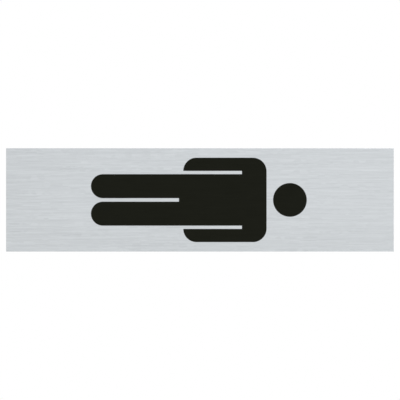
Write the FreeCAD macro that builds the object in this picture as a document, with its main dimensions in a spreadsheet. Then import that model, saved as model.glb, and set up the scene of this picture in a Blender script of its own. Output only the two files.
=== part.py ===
"""A mens toilet sign for a door or wall.

It is a thin oblong plate of brushed aluminium with square corners. A standing man is printed on its
face in black, as two separate fields of ink: a round head, and a body with its arms and legs. The
plate has no holes, so a film of adhesive over its back holds it up.

The frame is in millimetres. +Z runs up the figure from feet to head and along the plate's long side,
and the printed face looks towards -Y. The origin is the centre of the adhesive's rear face, which is
the face that lies against the door. Each layer is drawn on its own XZ plane and grows towards -Y.
"""

import FreeCAD, Part
import math
import os

import Sketcher

# Driving sizes, in millimetres
SIZES = {
    # The plate and what lies on and behind it
    "plate_height": 165.0,
    "plate_width": 44.0,
    "plate_thickness": 1.0,
    "edge_softening": 0.15,
    "ink_thickness": 0.05,
    "adhesive_thickness": 0.2,
    "adhesive_inset": 0.5,
    # The figure's place and its overall shape
    "feet_above_plate_edge": 36.1,
    "feet_to_shoulders": 74.75,
    "shoulder_width": 35.9,
    "shoulder_radius": 5.8,
    # The arms, each parted from the trunk by a slot that is open at the hands
    "arm_width": 5.6,
    "arm_length": 35.45,
    "arm_slot_width": 1.4,
    "solid_shoulder_depth": 10.5,
    # The legs, parted by a slot that is open at the feet
    "leg_slot_width": 1.5,
    "leg_slot_height": 37.45,
    # The head
    "head_diameter": 14.35,
    "neck_gap": 2.75,
}

# Places that follow from those sizes, as expressions on the sheet
BEHIND_PLATE = "-Sizes.adhesive_thickness"
PLATE_FACE = "-Sizes.adhesive_thickness - Sizes.plate_thickness"
FEET_HEIGHT = "Sizes.feet_above_plate_edge - Sizes.plate_height / 2"
HEAD_CENTRE = FEET_HEIGHT + " + Sizes.feet_to_shoulders + Sizes.neck_gap + Sizes.head_diameter / 2"

# Names for what a sketch counts: the points of an edge upwards from 1, and its own axes downwards
# from -1. Its origin is the start of its horizontal axis.
START, END, CENTRE = range(1, 4)
HORIZONTAL_AXIS, VERTICAL_AXIS = range(-1, -3, -1)
ORIGIN = (HORIZONTAL_AXIS, START)

doc = FreeCAD.newDocument("mens_toilet_sign")


def make_sheet():
    """The sheet of driving sizes: a name, its value under that name as alias, one size to a row."""
    sheet = doc.addObject("Spreadsheet::Sheet", "Sizes")
    for row, (alias, value) in enumerate(SIZES.items(), start=1):
        sheet.set(f"A{row}", alias)
        sheet.set(f"B{row}", str(value))
        sheet.setAlias(f"B{row}", alias)
    doc.recompute()


def origin_plane(body, role):
    """One of a body's own three base planes."""
    return next(item for item in body.Origin.OriginFeatures if item.Role == role)


def new_body(label):
    """An empty body for one sub-part."""
    body = doc.addObject("PartDesign::Body", label)
    body.Label = label
    return body


def sketch_on_face_plane(body, name):
    """A sketch on the body's XZ plane: its x runs along +X, its y along +Z, and it faces -Y."""
    sketch = body.newObject("Sketcher::SketchObject", name)
    sketch.AttachmentSupport = [(origin_plane(body, "XZ_Plane"), "")]
    sketch.MapMode = "FlatFace"
    return sketch


def value_of(expression):
    """What an expression on the sheet comes to now."""
    return float(doc.Sizes.evalExpression(expression.replace("Sizes.", "")))


def drive(sketch, name, expression, kind, *where):
    """Adds a named dimension to a sketch and binds it to an expression on the sheet."""
    index = sketch.addConstraint(Sketcher.Constraint(kind, *where, value_of(expression)))
    sketch.renameConstraint(index, name)
    sketch.setExpression(f"Constraints.{name}", expression)


def line(sketch, start, end):
    """A straight edge from start to end, each an (x, y) pair. Returns its number in the sketch."""
    return sketch.addGeometry(Part.LineSegment(FreeCAD.Vector(*start), FreeCAD.Vector(*end)), False)


def arc(sketch, centre, radius, start_angle, end_angle):
    """A round edge that runs anticlockwise between two angles, given in quarter turns."""
    quarter_turn = math.pi / 2
    circle = Part.Circle(FreeCAD.Vector(*centre), FreeCAD.Vector(0, 0, 1), radius)
    edge = Part.ArcOfCircle(circle, start_angle * quarter_turn, end_angle * quarter_turn)
    return sketch.addGeometry(edge, False)


def centred_rectangle(sketch, width, height):
    """A rectangle about the sketch's origin, with its two sizes bound to expressions."""
    half_x = value_of(width) / 2
    half_y = value_of(height) / 2
    corners = [(-half_x, -half_y), (half_x, -half_y), (half_x, half_y), (-half_x, half_y)]
    sides = [line(sketch, corners[i], corners[(i + 1) % 4]) for i in range(4)]
    for i, side in enumerate(sides):
        sketch.addConstraint(Sketcher.Constraint("Coincident", side, END, sides[(i + 1) % 4], START))
        sketch.addConstraint(Sketcher.Constraint("Vertical" if i % 2 else "Horizontal", side))
    bottom, right = sides[0], sides[1]
    sketch.addConstraint(Sketcher.Constraint("Symmetric", bottom, START, right, END, *ORIGIN))
    drive(sketch, "width", width, "DistanceX", bottom, START, bottom, END)
    drive(sketch, "height", height, "DistanceY", right, START, right, END)


def pad(body, sketch, name, thickness):
    """Thickens a sketch towards -Y by an expression on the sheet."""
    feature = body.newObject("PartDesign::Pad", name)
    feature.Profile = sketch
    feature.setExpression("Length", thickness)
    doc.recompute()
    return feature


def place(body, y="0", z="0"):
    """Binds a body's place to expressions on the sheet. Every body stays on the plane X = 0."""
    body.setExpression("Placement.Base.y", y)
    body.setExpression("Placement.Base.z", z)


def make_adhesive_film():
    """The film that bonds the plate to the door, a little short of the plate's edge all round."""
    body = new_body("adhesive_film")
    sketch = sketch_on_face_plane(body, "film_outline")
    centred_rectangle(
        sketch,
        "Sizes.plate_width - 2 * Sizes.adhesive_inset",
        "Sizes.plate_height - 2 * Sizes.adhesive_inset",
    )
    pad(body, sketch, "film_sheet", "Sizes.adhesive_thickness")
    place(body)
    return body


def make_sign_plate():
    """The cut plate. The four edges of its face are softened, and those of its back stay sharp."""
    body = new_body("sign_plate")
    sketch = sketch_on_face_plane(body, "plate_outline")
    centred_rectangle(sketch, "Sizes.plate_width", "Sizes.plate_height")
    sheet_metal = pad(body, sketch, "plate_sheet", "Sizes.plate_thickness")
    face_y = sheet_metal.Shape.BoundBox.YMin
    nearly = 1e-4
    face_edges = [
        f"Edge{number}"
        for number, edge in enumerate(sheet_metal.Shape.Edges, start=1)
        if all(abs(corner.Y - face_y) < nearly for corner in edge.Vertexes)
    ]
    softened = body.newObject("PartDesign::Fillet", "softened_face_edges")
    softened.Base = (sheet_metal, face_edges)
    softened.setExpression("Radius", "Sizes.edge_softening")
    place(body, y=BEHIND_PLATE)
    return body


def draw_half_figure(sketch):
    """Half of the printed body, to the right of its centre line, with the feet on the x axis.

    The outline runs from the top of the leg slot down to the foot, round it and up the trunk, into
    the arm slot and down to the hand, round that, up the arm, over the shoulder to the centre line.
    """
    shoulder_x = value_of("Sizes.shoulder_width / 2")
    arm_inside_x = shoulder_x - SIZES["arm_width"]
    trunk_x = arm_inside_x - SIZES["arm_slot_width"]
    leg_inside_x = SIZES["leg_slot_width"] / 2
    foot_radius = (trunk_x - leg_inside_x) / 2
    hand_radius = SIZES["arm_width"]
    shoulder_radius = SIZES["shoulder_radius"]
    top_y = SIZES["feet_to_shoulders"]
    slot_top_y = top_y - SIZES["solid_shoulder_depth"]
    hand_y = top_y - SIZES["arm_length"]
    crotch_y = SIZES["leg_slot_height"]

    slot_end = line(sketch, (0, crotch_y), (leg_inside_x, crotch_y))
    inside_leg = line(sketch, (leg_inside_x, crotch_y), (leg_inside_x, foot_radius))
    foot = arc(sketch, (leg_inside_x + foot_radius, foot_radius), foot_radius, 2, 4)
    trunk_side = line(sketch, (trunk_x, foot_radius), (trunk_x, slot_top_y))
    armpit = line(sketch, (trunk_x, slot_top_y), (arm_inside_x, slot_top_y))
    inside_arm = line(sketch, (arm_inside_x, slot_top_y), (arm_inside_x, hand_y))
    hand = arc(sketch, (arm_inside_x, hand_y + hand_radius), hand_radius, 3, 4)
    outside_arm = line(sketch, (shoulder_x, hand_y + hand_radius), (shoulder_x, top_y - shoulder_radius))
    shoulder = arc(
        sketch, (shoulder_x - shoulder_radius, top_y - shoulder_radius), shoulder_radius, 0, 1
    )
    top = line(sketch, (shoulder_x - shoulder_radius, top_y), (0, top_y))
    centre_line = line(sketch, (0, top_y), (0, crotch_y))

    def join(first, first_end, second, second_end, how="Coincident"):
        sketch.addConstraint(Sketcher.Constraint(how, first, first_end, second, second_end))

    join(slot_end, END, inside_leg, START)
    join(inside_leg, END, foot, START, "Tangent")
    join(foot, END, trunk_side, START, "Tangent")
    join(trunk_side, END, armpit, START)
    join(armpit, END, inside_arm, START)
    join(inside_arm, END, hand, START, "Perpendicular")
    join(hand, END, outside_arm, START, "Tangent")
    join(outside_arm, END, shoulder, START, "Tangent")
    join(shoulder, END, top, START, "Tangent")
    join(top, END, centre_line, START)
    join(centre_line, END, slot_end, START)
    for upright in (inside_leg, trunk_side, inside_arm, outside_arm):
        sketch.addConstraint(Sketcher.Constraint("Vertical", upright))
    for level in (slot_end, armpit, top):
        sketch.addConstraint(Sketcher.Constraint("Horizontal", level))
    sketch.addConstraint(Sketcher.Constraint("PointOnObject", centre_line, START, VERTICAL_AXIS))
    sketch.addConstraint(Sketcher.Constraint("PointOnObject", centre_line, END, VERTICAL_AXIS))
    sketch.addConstraint(Sketcher.Constraint("Tangent", foot, HORIZONTAL_AXIS))

    drive(sketch, "half_width", "Sizes.shoulder_width / 2", "DistanceX", *ORIGIN, outside_arm, START)
    drive(sketch, "arm", "Sizes.arm_width", "DistanceX", inside_arm, END, outside_arm, START)
    drive(sketch, "arm_slot", "Sizes.arm_slot_width", "DistanceX", armpit, START, armpit, END)
    drive(sketch, "half_slot", "Sizes.leg_slot_width / 2", "DistanceX", slot_end, START, slot_end, END)
    drive(sketch, "tall", "Sizes.feet_to_shoulders", "DistanceY", *ORIGIN, top, END)
    drive(sketch, "crotch", "Sizes.leg_slot_height", "DistanceY", *ORIGIN, slot_end, START)
    drive(sketch, "armpit", "Sizes.solid_shoulder_depth", "DistanceY", armpit, END, top, START)
    drive(sketch, "reach", "Sizes.arm_length", "DistanceY", inside_arm, END, top, START)
    drive(sketch, "rounding", "Sizes.shoulder_radius", "Radius", shoulder)


def make_pictogram_body():
    """The printed trunk, arms and legs. One half is drawn and thickened, then mirrored across X = 0."""
    body = new_body("pictogram_body")
    sketch = sketch_on_face_plane(body, "half_figure")
    draw_half_figure(sketch)
    half = pad(body, sketch, "half_figure_ink", "Sizes.ink_thickness")
    whole = body.newObject("PartDesign::Mirrored", "whole_figure_ink")
    whole.Originals = [half]
    whole.MirrorPlane = (origin_plane(body, "YZ_Plane"), [""])
    whole.Refine = True
    body.Tip = whole
    place(body, y=PLATE_FACE, z=FEET_HEIGHT)
    return body


def make_pictogram_head():
    """The printed head, a plain disc of ink over the middle of the shoulders."""
    body = new_body("pictogram_head")
    sketch = sketch_on_face_plane(body, "head_outline")
    circle = Part.Circle(FreeCAD.Vector(0, 0, 0), FreeCAD.Vector(0, 0, 1), SIZES["head_diameter"] / 2)
    rim = sketch.addGeometry(circle, False)
    sketch.addConstraint(Sketcher.Constraint("Coincident", rim, CENTRE, *ORIGIN))
    drive(sketch, "across", "Sizes.head_diameter", "Diameter", rim)
    pad(body, sketch, "head_ink", "Sizes.ink_thickness")
    place(body, y=PLATE_FACE, z=HEAD_CENTRE)
    return body


def check(bodies):
    """Stops unless every feature worked out, every sketch is fully drawn and every piece is one solid."""
    for item in doc.Objects:
        if "Invalid" in item.State or "Error" in item.State:
            raise RuntimeError(f"{item.Name} failed: {item.State}")
        if item.TypeId == "Sketcher::SketchObject" and not item.FullyConstrained:
            raise RuntimeError(f"sketch {item.Name} has loose edges")
    for body in bodies:
        if body.Shape.isNull() or not body.Shape.isValid() or len(body.Shape.Solids) != 1:
            raise RuntimeError(f"{body.Label} is not one valid solid")


make_sheet()
sign = [make_adhesive_film(), make_sign_plate(), make_pictogram_body(), make_pictogram_head()]
doc.recompute()
check(sign)
os.makedirs("parts", exist_ok=True)
for piece in sign:
    piece.Shape.exportStep(f"parts/{piece.Label}.step")
    box = piece.Shape.BoundBox
    print(
        f"{piece.Label}: {piece.Shape.Volume:.2f} mm3, X {box.XMin:.2f}..{box.XMax:.2f},"
        f" Y {box.YMin:.2f}..{box.YMax:.2f}, Z {box.ZMin:.2f}..{box.ZMax:.2f}"
    )
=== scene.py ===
# %% [markdown]
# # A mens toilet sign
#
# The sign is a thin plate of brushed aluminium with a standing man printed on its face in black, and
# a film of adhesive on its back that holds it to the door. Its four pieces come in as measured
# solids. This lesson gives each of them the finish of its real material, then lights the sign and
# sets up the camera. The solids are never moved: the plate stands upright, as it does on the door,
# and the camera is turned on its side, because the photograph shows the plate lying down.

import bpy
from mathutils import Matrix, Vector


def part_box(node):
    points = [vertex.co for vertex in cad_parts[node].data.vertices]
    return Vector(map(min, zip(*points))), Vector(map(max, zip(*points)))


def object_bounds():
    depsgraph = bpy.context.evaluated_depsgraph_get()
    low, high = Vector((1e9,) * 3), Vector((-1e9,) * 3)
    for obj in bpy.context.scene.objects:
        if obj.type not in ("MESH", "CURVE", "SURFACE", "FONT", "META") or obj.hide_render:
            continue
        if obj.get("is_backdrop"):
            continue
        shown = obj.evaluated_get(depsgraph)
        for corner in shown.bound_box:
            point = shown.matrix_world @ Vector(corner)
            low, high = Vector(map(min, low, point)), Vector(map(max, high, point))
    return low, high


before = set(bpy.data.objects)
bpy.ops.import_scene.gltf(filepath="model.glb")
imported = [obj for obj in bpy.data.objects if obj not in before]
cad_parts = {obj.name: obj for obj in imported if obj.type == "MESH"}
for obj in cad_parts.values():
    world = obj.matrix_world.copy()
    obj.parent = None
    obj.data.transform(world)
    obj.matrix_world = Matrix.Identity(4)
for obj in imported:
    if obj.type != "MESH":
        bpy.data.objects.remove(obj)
print(f"the sign has {len(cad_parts)} pieces: {', '.join(sorted(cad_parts))}")

# %% [markdown]
# ## Measuring first
#
# The camera, the lamps and several patterns need to know where the plate begins and ends. Its sizes
# could be typed in again, but then two files would have to agree for ever. They are read from the
# solids instead, before anything is added, and the whole sign's box is kept to be printed at the end.

# %% Measure the four pieces
import math

import bpy
from mathutils import Matrix, Vector

MM = 0.001
box_as_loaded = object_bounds()
plate_low, plate_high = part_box("sign_plate")
plate_size = plate_high - plate_low
plate_centre = (plate_low + plate_high) / 2
for name in sorted(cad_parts):
    low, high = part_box(name)
    size = [round(side / MM, 2) for side in high - low]
    print(f"{name}: {size} mm along X, Y and Z")

# %% [markdown]
# ## Where the camera stood
#
# The photograph looks straight at the face, and the plate's two long edges are parallel to within a
# tenth of a pixel, so it was taken from far away or with a long lens. An orthographic camera would
# give the same edges, but no reflection would change along the plate, as it does in the photograph.
# A 200 mm lens close to a metre away gives both.
#
# The plate's length fills a known share of the picture. With the lens and the sensor, that says how
# far away the camera stands.

# %% Work out where the camera stood
PICTURE_PX = 400
PLATE_LENGTH_PX = 387.74
PLATE_CENTRE_PX = Vector((199.98, 199.91))
LENS_MM = 200.0
SENSOR_MM = 36.0

metres_per_px = plate_size.z / PLATE_LENGTH_PX
distance = PICTURE_PX * metres_per_px * LENS_MM / SENSOR_MM
off_centre = (PLATE_CENTRE_PX - Vector((PICTURE_PX, PICTURE_PX)) / 2) * metres_per_px
print(f"camera {distance:.3f} m from the face, {metres_per_px / MM:.4f} mm to a pixel")

# %% [markdown]
# ## Turning the camera on its side
#
# A camera has its own X axis to the right of the picture, its Y axis to the top, and it looks along
# its own -Z. Three angles could turn it, but they are easy to put in the wrong order. Here its axes
# are written out one by one. The man's head points to the right of the picture, so the picture's
# right is the sign's +Z and its top is the sign's -X.

# %% Stand the camera there
picture_right = Vector((0, 0, 1))
picture_top = Vector((-1, 0, 0))
towards_camera = Vector((0, -1, 0))
face_centre = Vector((plate_centre.x, plate_low.y, plate_centre.z))
aim = face_centre - picture_right * off_centre.x + picture_top * off_centre.y

camera_data = bpy.data.cameras.new("photograph")
camera_data.lens = LENS_MM
camera_data.sensor_width = SENSOR_MM
camera = bpy.data.objects.new("photograph", camera_data)
bpy.context.scene.collection.objects.link(camera)
axes = Matrix((picture_right, picture_top, towards_camera)).transposed()
camera.matrix_world = Matrix.Translation(aim + towards_camera * distance) @ axes.to_4x4()
bpy.context.scene.camera = camera
print(f"the camera aims at {[round(part / MM, 3) for part in aim]} mm")

# %% [markdown]
# ## A finish is a graph of nodes
#
# The metal, the ink and the adhesive each need a pattern that drives colour, gloss and relief
# together. A picture of brushed metal could be wrapped round the plate, but it would blur close up
# and repeat itself. A pattern worked out by shader nodes stays sharp at any distance.
#
# Nodes can be dragged together by hand. The same graph in code is read from top to bottom and changed
# in one place, so one helper adds a node and wires its inputs, and another starts a finish. The
# plate's is started first. It is all metal, so that one number goes straight into its shader.

# %% Start the aluminium
def add_node(tree, kind, inputs=None, **settings):
    """Adds a node. An input is a plain value or another node's output, which is then wired in."""
    node = tree.nodes.new(kind)
    for name, value in settings.items():
        setattr(node, name, value)
    for name, value in (inputs or {}).items():
        if isinstance(value, bpy.types.NodeSocket):
            tree.links.new(value, node.inputs[name])
        else:
            node.inputs[name].default_value = value
    return node

def start_finish(name):
    """A material with one Principled shader. Returns the material, its nodes and the shader."""
    finish = bpy.data.materials.new(name)
    finish.use_nodes = True
    tree = finish.node_tree
    return finish, tree, tree.nodes["Principled BSDF"]

aluminium, tree, metal = start_finish("brushed_aluminium")
metal.inputs["Metallic"].default_value = 1.0
print(f"{aluminium.name} starts with {len(tree.nodes)} nodes")

# %% [markdown]
# ## The lines of the brushing
#
# The plate's face was drawn under a belt of abrasive along its length. That leaves hairlines a tenth
# of a millimetre wide, and, because some grits dig deeper, streaks of several hairlines that catch
# the light together. In the photograph they change the plate's tone by only about one part in fifty.
#
# A wave texture would give evenly spaced lines, which brushing never does. Noise with cells that are
# long along the plate and narrow across it places its lines at random, as the belt does. The patterns
# are measured in the sign's own millimetres, from the Object coordinates, because Generated
# coordinates would stretch with the shape of the piece, and a UV map would first have to be
# unwrapped.

# %% Draw the hairlines, the longest streaks and the clouds
def grain(tree, place, cell_mm, seed, detail=1.0, sharpness=0.5):
    """Soft noise from 0 to 1 whose cells measure cell_mm along X, Y and Z. A seed shifts it aside.

    Each step of detail adds cells of half the size, and sharpness says how strongly they show."""
    cells_per_metre = [1 / (side * MM) for side in cell_mm]
    shifted = {"Vector": place, "Scale": cells_per_metre, "Location": (seed, 2 * seed, 3 * seed)}
    stretched = add_node(tree, "ShaderNodeMapping", shifted).outputs[0]
    noise = {"Vector": stretched, "Scale": 1.0, "Detail": detail, "Roughness": sharpness}
    return add_node(tree, "ShaderNodeTexNoise", noise).outputs[0]

coordinates = add_node(tree, "ShaderNodeTexCoord").outputs
place = coordinates["Object"]
hairlines = grain(tree, place, cell_mm=(0.11, 0.11, 16), seed=1, detail=3, sharpness=0.8)
long_streaks = grain(tree, place, cell_mm=(0.9, 0.9, 34), seed=9, detail=2)
clouds = grain(tree, place, cell_mm=(16, 16, 45), seed=13)
print(f"the lines bring {aluminium.name} to {len(tree.nodes)} nodes")

# %% [markdown]
# ## Streaks that start and end
#
# Most of the streaks in the photograph are about two pixels wide and ten to thirty pixels long, which
# is under a millimetre by four to thirteen, and all of them are straight and level. Noise whose cells
# are that short wavers, because each line wanders by half a cell's width over half a cell's length.
# Cells almost thirty times as long as wide keep their lines straight, but those don't end in time.
#
# So two sets of long streaks are drawn, and noise with short cells says where the one set shows and
# where the other does. A streak ends where its set gives way, as a scratch ends where the grit lifts.

# %% Draw the streaks that start and end
STREAK_MM = (0.78, 0.78, 22)
PATCH_MM = (1.8, 1.8, 3.4)
PATCH_FADES_FROM, PATCH_FADES_TO = 0.42, 0.58

def spread(tree, value, low, high, start=0.0, end=1.0):
    """Turns a value that runs from start to end into one that runs smoothly from low to high."""
    limits = {"Value": value, "From Min": start, "From Max": end, "To Min": low, "To Max": high}
    return add_node(tree, "ShaderNodeMapRange", limits, interpolation_type="SMOOTHSTEP").outputs[0]

def mix_values(tree, share, first, second):
    """A number that runs from the first to the second as share runs from 0 to 1."""
    return add_node(tree, "ShaderNodeMix", {0: share, 2: first, 3: second}).outputs[0]

one_set = grain(tree, place, STREAK_MM, seed=5, detail=2, sharpness=0.6)
other_set = grain(tree, place, STREAK_MM, seed=19, detail=2, sharpness=0.6)
patches = grain(tree, place, PATCH_MM, seed=31)
patches = spread(tree, patches, 0, 1, start=PATCH_FADES_FROM, end=PATCH_FADES_TO)
short_streaks = mix_values(tree, patches, one_set, other_set)
print(f"the streaks change over about every {PATCH_MM[2]} mm along the plate")

# %% [markdown]
# ## Adding the lines up
#
# On the metal the lines lie over each other. Multiplying the patterns would darken the plate with
# each one, and mixing them in turn would fade the first. Each is added instead by how far it lies
# above or below its middle, so the sum keeps the same middle, and the weights say how strongly each
# one shows. The clouds come from uneven pressure, and are faint.

# %% Add the lines up
HAIRLINE_WEIGHT = 1.7
SHORT_STREAK_WEIGHT = 1.05
LONG_STREAK_WEIGHT = 0.35
CLOUD_WEIGHT = 0.15

def calculate(tree, operation, *values):
    """One step of arithmetic on numbers or outputs. Returns the output that holds the answer."""
    node = add_node(tree, "ShaderNodeMath", dict(enumerate(values)), operation=operation)
    return node.outputs[0]

def blend_grains(tree, weighted_grains):
    """Adds several grains about their common middle, 0.5, each with its own weight."""
    total = 0.5 * (1 - sum(weight for _, weight in weighted_grains))
    for pattern, weight in weighted_grains:
        total = calculate(tree, "MULTIPLY_ADD", pattern, weight, total)
    return total

brushing = blend_grains(tree, [
    (hairlines, HAIRLINE_WEIGHT),
    (short_streaks, SHORT_STREAK_WEIGHT),
    (long_streaks, LONG_STREAK_WEIGHT),
    (clouds, CLOUD_WEIGHT),
])
print(f"the sum of the lines comes from the node {brushing.node.name}")

# %% [markdown]
# ## Where the plate is shaded darker
#
# The plate's colour is darker along its right-hand edge and at its foot, which are the lower edge
# and the left end in the photograph. Both are darker by one part in fifty there. The head's end is
# darker by far less, and the rest is even. This is painted shade: a lamp in front couldn't darken
# these alone, so the colour does.
#
# Each of the three has a share of painted shade that grows towards its edge. The two ends never meet,
# so their shares are added. The right-hand edge meets both, and a sum would darken those corners too
# much. Mixing it towards 1 by the share of the ends lets them darken only what the edge has left.

# %% Paint the shade along the right-hand edge and at the ends
# Painted shade: how much darker the colour gets at the right-hand edge, at the foot and at the head.
RIGHT_EDGE_SHADE = 0.65
FOOT_SHADE, HEAD_SHADE = 0.5, 0.25
FOOT_END, HEAD_END = 45 * MM, 35 * MM
UNSHADED = (1, 1, 1, 1)
DEEPEST_PAINTED_SHADE = (0.954, 0.953, 0.950, 1)

def mix_colours(tree, share, first, second, blend_type="MIX"):
    """Mixes the second colour into the first, more of it as share goes from 0 to 1."""
    inputs = {0: share, 6: first, 7: second}
    return add_node(tree, "ShaderNodeMix", inputs, data_type="RGBA", blend_type=blend_type).outputs[2]

across, depth, along = add_node(tree, "ShaderNodeSeparateXYZ", {0: place}).outputs
# Each share of painted shade grows towards its own edge of the plate.
shade_to_right = spread(tree, across, 0, RIGHT_EDGE_SHADE, start=plate_centre.x, end=plate_high.x)
shade_to_foot = spread(tree, along, FOOT_SHADE, 0, start=plate_low.z, end=plate_low.z + FOOT_END)
shade_to_head = spread(tree, along, 0, HEAD_SHADE, start=plate_high.z - HEAD_END, end=plate_high.z)
painted_shade = mix_values(tree, calculate(tree, "ADD", shade_to_foot, shade_to_head), shade_to_right, 1)
# The colour that darkens the face by the painted shade.
darkened = mix_colours(tree, painted_shade, UNSHADED, DEEPEST_PAINTED_SHADE)
# The print gives how far the painted shade reaches at the foot and at the head.
print(f"it pressed harder over the lowest {FOOT_END / MM:.0f} mm and the top {HEAD_END / MM:.0f} mm")

# %% [markdown]
# ## From lines to metal
#
# Bare aluminium has no colour but what it reflects, with a faint blue in it. The floor of a groove is
# a little darker than the ridge beside it and scatters more, so one pattern sets both the colour and
# the roughness. Colour alone would look printed on, and roughness alone would fade in soft light.

# %% Tint the face
METAL_GROOVE = (0.519, 0.544, 0.562, 1)
METAL_RIDGE = (0.698, 0.729, 0.751, 1)
GROOVE_ROUGHNESS, RIDGE_ROUGHNESS = 0.40, 0.28
DEEPEST_GROOVE, HIGHEST_RIDGE = 0.2, 0.8

face_colour = mix_colours(tree, brushing, METAL_GROOVE, METAL_RIDGE)
# The painted shade darkens the face towards its right-hand edge and its ends.
face_colour = mix_colours(tree, 1.0, face_colour, darkened, blend_type="MULTIPLY")
face_roughness = spread(
    tree, brushing, GROOVE_ROUGHNESS, RIDGE_ROUGHNESS, start=DEEPEST_GROOVE, end=HIGHEST_RIDGE
)
print(f"the face runs from {METAL_GROOVE[:3]} in the grooves to {METAL_RIDGE[:3]} on the ridges")

# %% [markdown]
# ## Where the shear cut and where it tore
#
# The plate was sheared from a larger sheet. A shear burnishes the first third of the thickness and
# tears the rest, so seen from the side the edge has a bright band next to the face and a duller,
# rougher one behind it. A straight border between them would look painted. On the metal it is
# ragged, so the depth is first pushed to and fro by a fine grain, and then compared with the border.

# %% Find the torn part of the edge
BURNISHED_SHARE = 0.35
BORDER_SOFTNESS = 0.05 * MM
BORDER_RAGGEDNESS = 0.35 * MM

border = plate_low.y + BURNISHED_SHARE * plate_size.y
to_and_fro = calculate(tree, "SUBTRACT", grain(tree, place, (0.6, 0.6, 0.6), seed=23, detail=3), 0.5)
ragged_depth = calculate(tree, "MULTIPLY_ADD", to_and_fro, BORDER_RAGGEDNESS, depth)
torn = spread(tree, ragged_depth, 0, 1, start=border - BORDER_SOFTNESS, end=border + BORDER_SOFTNESS)
print(f"the torn part of the edge starts {(border - plate_low.y) / MM:.2f} mm behind the face")

# %% [markdown]
# ## The look of the sheared edges
#
# The blade leaves fine marks through the thickness, along the sign's Y axis, and the tear leaves a
# grain with no direction. Both patterns are made as the brushing was, with other cells, and where
# they stand high the metal shows through as bright as a ridge of the face.

# %% Tint the edges
EDGE_BURNISHED = (0.68, 0.705, 0.72, 1)
EDGE_TORN = (0.40, 0.415, 0.43, 1)
BRIGHTEST_MARK = 0.5
EDGE_ROUGHNESS_LEAST, EDGE_ROUGHNESS_MOST = 0.25, 0.40
TORN_ROUGHER_BY = 0.22

shear_marks = grain(tree, place, cell_mm=(0.12, 1.5, 0.12), seed=17, detail=2)
torn_grain = grain(tree, place, cell_mm=(0.10, 0.10, 0.10), seed=21, detail=3, sharpness=0.7)
edge_marks = blend_grains(tree, [(shear_marks, 1.0), (torn_grain, 0.9)])
edge_colour = mix_colours(tree, torn, EDGE_BURNISHED, EDGE_TORN)
mark_brightness = spread(tree, edge_marks, 0, BRIGHTEST_MARK)
edge_colour = mix_colours(tree, mark_brightness, edge_colour, METAL_RIDGE)
edge_roughness = spread(tree, edge_marks, EDGE_ROUGHNESS_LEAST, EDGE_ROUGHNESS_MOST)
edge_roughness = calculate(tree, "MULTIPLY_ADD", torn, TORN_ROUGHER_BY, edge_roughness)
print(f"the edge runs from {EDGE_BURNISHED[:3]} where it was cut to {EDGE_TORN[:3]} where it tore")

# %% [markdown]
# ## One piece of metal, one finish
#
# The face and the edges could have a material each, but then one piece of metal would need two slots.
# The direction in which the surface looks tells them apart just as well. Its Y part is -1 on the
# face, which looks forward, and 0 on the edges, and on the rounded corner it runs from one to the
# other. The corner was taken off with a fine file, which leaves it rougher and a little duller, and
# its colour is darkened further with painted shade that dims the lamps' highlight on the rounding.

# %% Find the face and the corner
ON_FACE, OFF_FACE = -0.97, -0.60
MID_CORNER, CORNER_REACH = -0.70, 0.30

facing = add_node(tree, "ShaderNodeSeparateXYZ", {0: coordinates["Normal"]}).outputs[1]
is_face = spread(tree, facing, 1, 0, start=ON_FACE, end=OFF_FACE)
off_corner = calculate(tree, "ABSOLUTE", calculate(tree, "SUBTRACT", facing, MID_CORNER))
is_corner = spread(tree, off_corner, 1, 0, end=CORNER_REACH)
print(f"the corner is filed where the normal's Y part is within {CORNER_REACH} of {MID_CORNER}")

# %% [markdown]
# ## Putting the plate together
#
# The shares that were just found now choose the colour, the roughness and the relief at each point.
# The relief is a bump, which only tilts the light. Real grooves of four thousandths of a millimetre
# would take millions of faces, and would change the plate's measured shape.

# %% Put the face, the edges and the corner together
RELIEF = 0.004 * MM
# The corner's colour is filed metal, darkened further with painted shade that dims the lamps'
# highlight.
CORNER_FILED_AND_SHADED = (0.50, 0.52, 0.535, 1)
CORNER_ROUGHNESS = 0.6

def raise_relief(tree, shader, height, depth):
    """Lets a pattern stand out of the surface by that depth, and wires it into the shader."""
    bump = add_node(tree, "ShaderNodeBump", {"Height": height, "Distance": depth, "Strength": 1.0})
    tree.links.new(bump.outputs[0], shader.inputs["Normal"])

colour = mix_colours(tree, is_face, edge_colour, face_colour)
# On the rounded corner the colour turns to the filed metal with its painted shade.
colour = mix_colours(tree, is_corner, colour, CORNER_FILED_AND_SHADED)
tree.links.new(colour, metal.inputs["Base Color"])
roughness = mix_values(tree, is_face, edge_roughness, face_roughness)
roughness = mix_values(tree, is_corner, roughness, CORNER_ROUGHNESS)
tree.links.new(roughness, metal.inputs["Roughness"])
raise_relief(tree, metal, mix_values(tree, is_face, edge_marks, brushing), RELIEF)
print(f"{aluminium.name} now has {len(tree.nodes)} nodes")

# %% [markdown]
# ## Gloss that follows the brushing
#
# Brushed metal smears a reflection across its lines and hardly at all along them. Blender calls this
# anisotropy, and needs a tangent, the direction on the surface in which the smear is widest. A radial
# tangent about the Z axis runs across the face from side to side, at right angles to the brushing.
#
# The finished material then goes into the slot of the plate.

# %% Smear the gloss, and coat the plate
SMEAR = 0.55

def coat(name, finish):
    """Puts a finish into a solid's own material slot."""
    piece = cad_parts[name]
    piece.material_slots[0].material = finish

across_the_lines = add_node(tree, "ShaderNodeTangent", direction_type="RADIAL", axis="Z")
tree.links.new(across_the_lines.outputs[0], metal.inputs["Tangent"])
metal.inputs["Anisotropic"].default_value = SMEAR
coat("sign_plate", aluminium)

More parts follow.
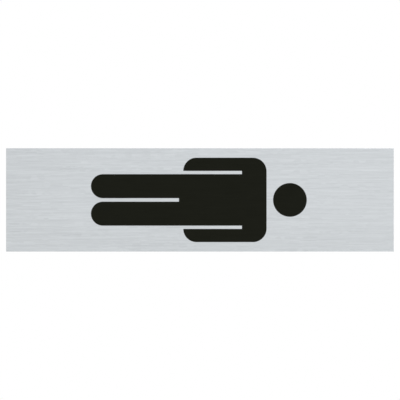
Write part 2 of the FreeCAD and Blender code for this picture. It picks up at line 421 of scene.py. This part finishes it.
# %% [markdown]
# ## Printed ink
#
# The man is screen-printed: a thick, matt ink was pushed through a mesh onto the metal and left to
# dry. It is black with a faint warm tinge. Close up it isn't level. The mesh leaves a fine dimpled
# skin, the ink pools in soft patches, and the brushing of the metal shows through as shallow lines.
#
# The ink could be painted into the plate's own material with a mask. It is kept as the solid fields
# of ink that it really is, a twentieth of a millimetre thick, so its edges stay sharp at any distance
# and the plate's metal stays whole beneath it.

# %% Mix the ink
INK_THIN = (0.0102, 0.0109, 0.0069, 1)
INK_POOLED = (0.0043, 0.0048, 0.0020, 1)
INK_THIN_ROUGHNESS, INK_POOLED_ROUGHNESS = 0.68, 0.50
THINNEST_INK, DEEPEST_INK = 0.2, 0.8
INK_RELIEF = 0.007 * MM
INK_GLOSS = 0.06

black_ink, tree, ink = start_finish("screen_printed_black")
place = add_node(tree, "ShaderNodeTexCoord").outputs["Object"]
pools = grain(tree, place, cell_mm=(5, 5, 9), seed=25, detail=2)
mesh_skin = grain(tree, place, cell_mm=(0.22, 0.22, 0.22), seed=29, detail=2)
lines_below = grain(tree, place, cell_mm=(0.35, 0.35, 12), seed=33, detail=2)
ink_depth = blend_grains(tree, [(mesh_skin, 0.4), (lines_below, 0.8), (pools, 0.4)])

# %% [markdown]
# ## Printing the man
#
# One number, how deep the ink lies, sets all of its look. Where it pooled it hides the metal best and
# dries smoothest, so it is darkest and least rough there. A varnish would shine more than this ink,
# so the shader's specular level is turned far down. The trunk with its limbs and the head are two
# fields of the same ink, and share one material.

# %% Print the man
tree.links.new(mix_colours(tree, ink_depth, INK_THIN, INK_POOLED), ink.inputs["Base Color"])
ink_roughness = spread(
    tree, ink_depth, INK_THIN_ROUGHNESS, INK_POOLED_ROUGHNESS, start=THINNEST_INK, end=DEEPEST_INK
)
tree.links.new(ink_roughness, ink.inputs["Roughness"])
raise_relief(tree, ink, ink_depth, INK_RELIEF)
ink.inputs["Specular IOR Level"].default_value = INK_GLOSS
coat("pictogram_body", black_ink)
coat("pictogram_head", black_ink)

# %% [markdown]
# ## The adhesive film
#
# The plate has no holes, so it is stuck on, and its back carries a film of milky acrylic adhesive.
# The film was cast between rollers, so it has shallow ripples along its length and a faint cloudiness.
#
# A real film lets some light through, and a transmission shader could do the same. The metal lies
# right behind it, though, so the eye sees one pale surface, and a plain one renders without noise.

# %% Cast the film
FILM_CLEAR = (0.66, 0.65, 0.60, 1)
FILM_MILKY = (0.80, 0.79, 0.74, 1)

adhesive, tree, film = start_finish("acrylic_adhesive")
place = add_node(tree, "ShaderNodeTexCoord").outputs["Object"]
milk = grain(tree, place, cell_mm=(7, 7, 18), seed=37, detail=3)
ripples = grain(tree, place, cell_mm=(3.5, 3.5, 40), seed=41)
skin = grain(tree, place, cell_mm=(0.8, 0.8, 0.8), seed=45, detail=2)
milkiness = blend_grains(tree, [(milk, 1.8), (skin, 0.25)])
film_colour = mix_colours(tree, milkiness, FILM_CLEAR, FILM_MILKY)
print(f"{adhesive.name} has {len(tree.nodes)} nodes so far")

# %% [markdown]
# ## Bubbles in the film
#
# Casting traps a little air, and the bubbles show as pale specks, under a millimetre across. They
# could be modelled as spheres, but a few hundred of them would cost more faces than the whole sign. A
# Voronoi texture cuts the film into cells with one point each and knows how far away that point is,
# so a small distance makes a round speck. Each cell also has a colour of its own, which works as a lot
# drawn at random: its red says whether the cell has a bubble, and its green how large it is.
#
# The texture works in two dimensions, X and Y, so the upright film is first turned to lie flat.

# %% Trap some air
BUBBLE_CELL_MM = 3.2
LARGEST_RADIUS_MM = 0.42
EMPTY_SHARE = 0.6
BUBBLE_STRENGTH = 0.95
SOFT_RIM_FROM = 0.6
FILM_BUBBLE = (0.88, 0.88, 0.86, 1)

laid_flat = {"Vector": place, "Rotation": (math.radians(90), 0, 0)}
flat_place = add_node(tree, "ShaderNodeMapping", laid_flat).outputs[0]
cells = {"Vector": flat_place, "Scale": 1 / (BUBBLE_CELL_MM * MM)}
scatter = add_node(tree, "ShaderNodeTexVoronoi", cells, voronoi_dimensions="2D").outputs
lot = add_node(tree, "ShaderNodeSeparateColor", {0: scatter["Color"]}).outputs
radius = calculate(tree, "MULTIPLY", lot["Green"], LARGEST_RADIUS_MM / BUBBLE_CELL_MM)
from_middle = calculate(tree, "DIVIDE", scatter["Distance"], radius)
has_bubble = calculate(tree, "GREATER_THAN", lot["Red"], EMPTY_SHARE)
bubble = spread(tree, from_middle, BUBBLE_STRENGTH, 0, start=SOFT_RIM_FROM)
bubbles = calculate(tree, "MULTIPLY", bubble, has_bubble)
film_colour = mix_colours(tree, bubbles, film_colour, FILM_BUBBLE)
print(f"one bubble to {BUBBLE_CELL_MM ** 2 / (1 - EMPTY_SHARE):.0f} square millimetres")

# %% [markdown]
# ## Dust on the film's rim
#
# The film's cut edge is open and tacky, and picks up dust that the middle is kept from. A mask could
# be painted by hand, but the rim is simply where a point lies close to the film's outline, and the
# solid's own box says where that is. The skin's pattern makes the dust reach in unevenly, and a finer
# one breaks it up into specks that thin out towards the middle.

# %% Let dust settle on the rim
DUST_REACH_LEAST, DUST_REACH_MOST = 0.8 * MM, 3.0 * MM
SKIN_LEAST, SKIN_MOST = 0.3, 0.7
HAZE_BETWEEN_SPECKS = 0.25
SPECK_FROM, SPECK_TO = 0.45, 0.65

def inside(tree, reach, half_size):
    """How far a point lies inside the outline, when the outline is half_size from the middle."""
    return calculate(tree, "SUBTRACT", half_size, calculate(tree, "ABSOLUTE", reach))

film_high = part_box("adhesive_film")[1]
across, _, along = add_node(tree, "ShaderNodeSeparateXYZ", {0: place}).outputs
from_side, from_end = inside(tree, across, film_high.x), inside(tree, along, film_high.z)
from_rim = calculate(tree, "MINIMUM", from_side, from_end)
dust_reach = spread(tree, skin, DUST_REACH_LEAST, DUST_REACH_MOST, start=SKIN_LEAST, end=SKIN_MOST)
thinning_out = spread(tree, calculate(tree, "DIVIDE", from_rim, dust_reach), 1, 0)
fine_grain = grain(tree, place, cell_mm=(0.16, 0.16, 0.16), seed=53, detail=2)
specks = spread(tree, fine_grain, HAZE_BETWEEN_SPECKS, 1, start=SPECK_FROM, end=SPECK_TO)
dust = calculate(tree, "MULTIPLY", thinning_out, specks)
print(f"the dust reaches at most {DUST_REACH_MOST / MM:.0f} mm in from the rim")

# %% [markdown]
# ## The feel of the film
#
# Adhesive is smooth and a little glossy, because it flows before it sets, and dust takes that gloss
# away. Its relief comes from the rollers' ripples, with the skin and the bubbles standing up a
# little. As on the plate, that relief is a bump and moves no vertex.

# %% Coat the film
FILM_DUSTY = (0.42, 0.40, 0.35, 1)
FILM_ROUGHNESS_LEAST, FILM_ROUGHNESS_MOST = 0.24, 0.36
DUST_ROUGHER_BY = 0.4
FILM_RELIEF = 0.05 * MM
FILM_GLOSS = 0.45

tree.links.new(mix_colours(tree, dust, film_colour, FILM_DUSTY), film.inputs["Base Color"])
film_roughness = spread(
    tree, skin, FILM_ROUGHNESS_LEAST, FILM_ROUGHNESS_MOST, start=SKIN_LEAST, end=SKIN_MOST
)
film_roughness = calculate(tree, "MULTIPLY_ADD", dust, DUST_ROUGHER_BY, film_roughness)
tree.links.new(film_roughness, film.inputs["Roughness"])
film_surface = blend_grains(tree, [(ripples, 1.0), (skin, 0.15), (bubbles, 0.5)])
raise_relief(tree, film, film_surface, FILM_RELIEF)
film.inputs["Specular IOR Level"].default_value = FILM_GLOSS
coat("adhesive_film", adhesive)

# %% [markdown]
# ## A white room
#
# Behind the sign the photograph is plain white. More light would wash out the metal as well, so the
# world has two strengths instead, told apart by the Light Path node. A ray from the camera, or one
# that bounced off something shiny, finds a white of strength 1. A ray that left a matt surface finds
# a dimmer room, and soft lamps make up the rest, so that the pieces keep some shading.

# %% Fill the world with light
ROOM_LIGHT = 0.62

def rays_that_see_white(tree):
    """1 for rays from the camera, from gloss and through glass, and 0 for light on matt surfaces."""
    rays = add_node(tree, "ShaderNodeLightPath").outputs
    shiny = calculate(tree, "ADD", rays["Is Glossy Ray"], rays["Is Transmission Ray"])
    return calculate(tree, "MINIMUM", calculate(tree, "ADD", rays["Is Camera Ray"], shiny), 1)

world = bpy.data.worlds.new("white_room")
bpy.context.scene.world = world
world.use_nodes = True
tree = world.node_tree
tree.nodes.clear()
room = add_node(tree, "ShaderNodeBackground", {"Color": (1, 1, 1, 1), "Strength": ROOM_LIGHT})
white = add_node(tree, "ShaderNodeBackground", {"Color": (1, 1, 1, 1), "Strength": 1.0})
seen = {0: rays_that_see_white(tree), 1: room.outputs[0], 2: white.outputs[0]}
both = add_node(tree, "ShaderNodeMixShader", seen)
add_node(tree, "ShaderNodeOutputWorld", {"Surface": both.outputs[0]})
print(f"the room gives matt surfaces {ROOM_LIGHT} of full white")

# %% [markdown]
# ## The floor
#
# The sign is on nothing in the photograph, so the floor lies a little under the sign's foot. The part
# that takes the sign's soft shadow is just outside that picture, and only other views see it. It is a
# round sheet of pale card, so wide that its rim is never seen.

# %% Lay the floor
FLOOR_DROP = 7 * MM
FLOOR_RADIUS = 2.5
FLOOR_SIDES = 96

def lay_floor(height):
    """A round floor at that height, which isn't part of the sign."""
    bpy.ops.mesh.primitive_circle_add(
        vertices=FLOOR_SIDES, radius=FLOOR_RADIUS, fill_type="NGON", location=(0, 0, height)
    )
    floor = bpy.context.object
    floor.name = "floor"
    floor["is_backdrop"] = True
    return floor

floor = lay_floor(plate_low.z - FLOOR_DROP)
print(f"floor {FLOOR_DROP / MM:.0f} mm below the sign")

# %% [markdown]
# ## Card that turns into light
#
# A floor of plain card would meet the white room in a grey line. So further out the card turns into a
# surface that glows as white as the room does, and only the card near the foot of the sign is shaded.
# The glow is told apart by the same kinds of ray as the room, so it throws no light on the sign.

# %% Finish the card
SHADED_WITHIN = 15 * MM
WHITE_BEYOND = 50 * MM
LEAST_GLOW = 0.25
CARD_DARK = (0.86, 0.86, 0.86, 1)
CARD_PALE = (0.90, 0.90, 0.90, 1)
CARD_ROUGHNESS = 0.9
CARD_GLOSS = 0.1

card, tree, matt = start_finish("pale_card")
place = add_node(tree, "ShaderNodeTexCoord").outputs["Object"]
fibres = grain(tree, place, cell_mm=(2, 2, 2), seed=49, detail=4)
tree.links.new(mix_colours(tree, fibres, CARD_DARK, CARD_PALE), matt.inputs["Base Color"])
matt.inputs["Roughness"].default_value = CARD_ROUGHNESS
matt.inputs["Specular IOR Level"].default_value = CARD_GLOSS
glow = add_node(tree, "ShaderNodeEmission", {"Color": (1, 1, 1, 1), "Strength": 1.0})
from_foot = add_node(tree, "ShaderNodeVectorMath", {0: place}, operation="LENGTH").outputs["Value"]
whiteness = spread(tree, from_foot, LEAST_GLOW, 1.0, start=SHADED_WITHIN, end=WHITE_BEYOND)
share = calculate(tree, "MULTIPLY", rays_that_see_white(tree), whiteness)
seen = add_node(tree, "ShaderNodeMixShader", {0: share, 1: matt.outputs[0], 2: glow.outputs[0]})
tree.links.new(seen.outputs[0], tree.nodes["Material Output"].inputs["Surface"])
floor.data.materials.append(card)
print(f"the card is all white {WHITE_BEYOND / MM:.0f} mm from the middle of the sign's foot")

# %% [markdown]
# ## The lamps
#
# In the photograph the plate is a shade brighter towards the head and along its top edge, so the main
# lamp stands on that side. Sun or spot lamps would print hard shadows and burn a white line into the
# plate's rounded corners, so these are square area lamps more than a metre wide, like the softboxes
# of a studio. The second fills the shaded side, and the third stands behind, so that the adhesive
# film isn't lost in the dark when the sign is seen from the back.

# %% Set up the softboxes
SOFTBOX_SIDE = 1.2

def softbox(name, place, watts):
    """A square lamp that faces the middle of the sign."""
    lamp = bpy.data.lights.new(name, "AREA")
    lamp.shape = "SQUARE"
    lamp.size = SOFTBOX_SIDE
    lamp.energy = watts
    stand = bpy.data.objects.new(name, lamp)
    bpy.context.scene.collection.objects.link(stand)
    stand.location = place
    to_sign = plate_centre - stand.location
    stand.rotation_euler = to_sign.to_track_quat("-Z", "Y").to_euler()
    print(f"{name}: {watts} W, {to_sign.length:.2f} m from the sign")

softbox("key_softbox", place=(-1.20, -0.78, 0.75), watts=12.0)
softbox("fill_softbox", place=(1.30, -0.60, 0.60), watts=5.0)
softbox("back_softbox", place=(0.60, 1.35, 1.05), watts=12.0)

# %% [markdown]
# ## Colours as written
#
# Blender's default view transform dims bright colours to save highlights. The Standard transform
# leaves them as they are, so a white wall comes out white and the aluminium as it was measured. The
# two boxes, before and after, are then printed, so that any growth from a finish would show.

# %% Choose the view transform, print the sizes and finish
bpy.context.scene.view_settings.view_transform = "Standard"
bpy.context.view_layer.update()
boxes = {"cad": box_as_loaded, "visual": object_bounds()}
for name, (low, high) in boxes.items():
    print(f"{name} box: {[round(side / MM, 3) for side in high - low]} mm")
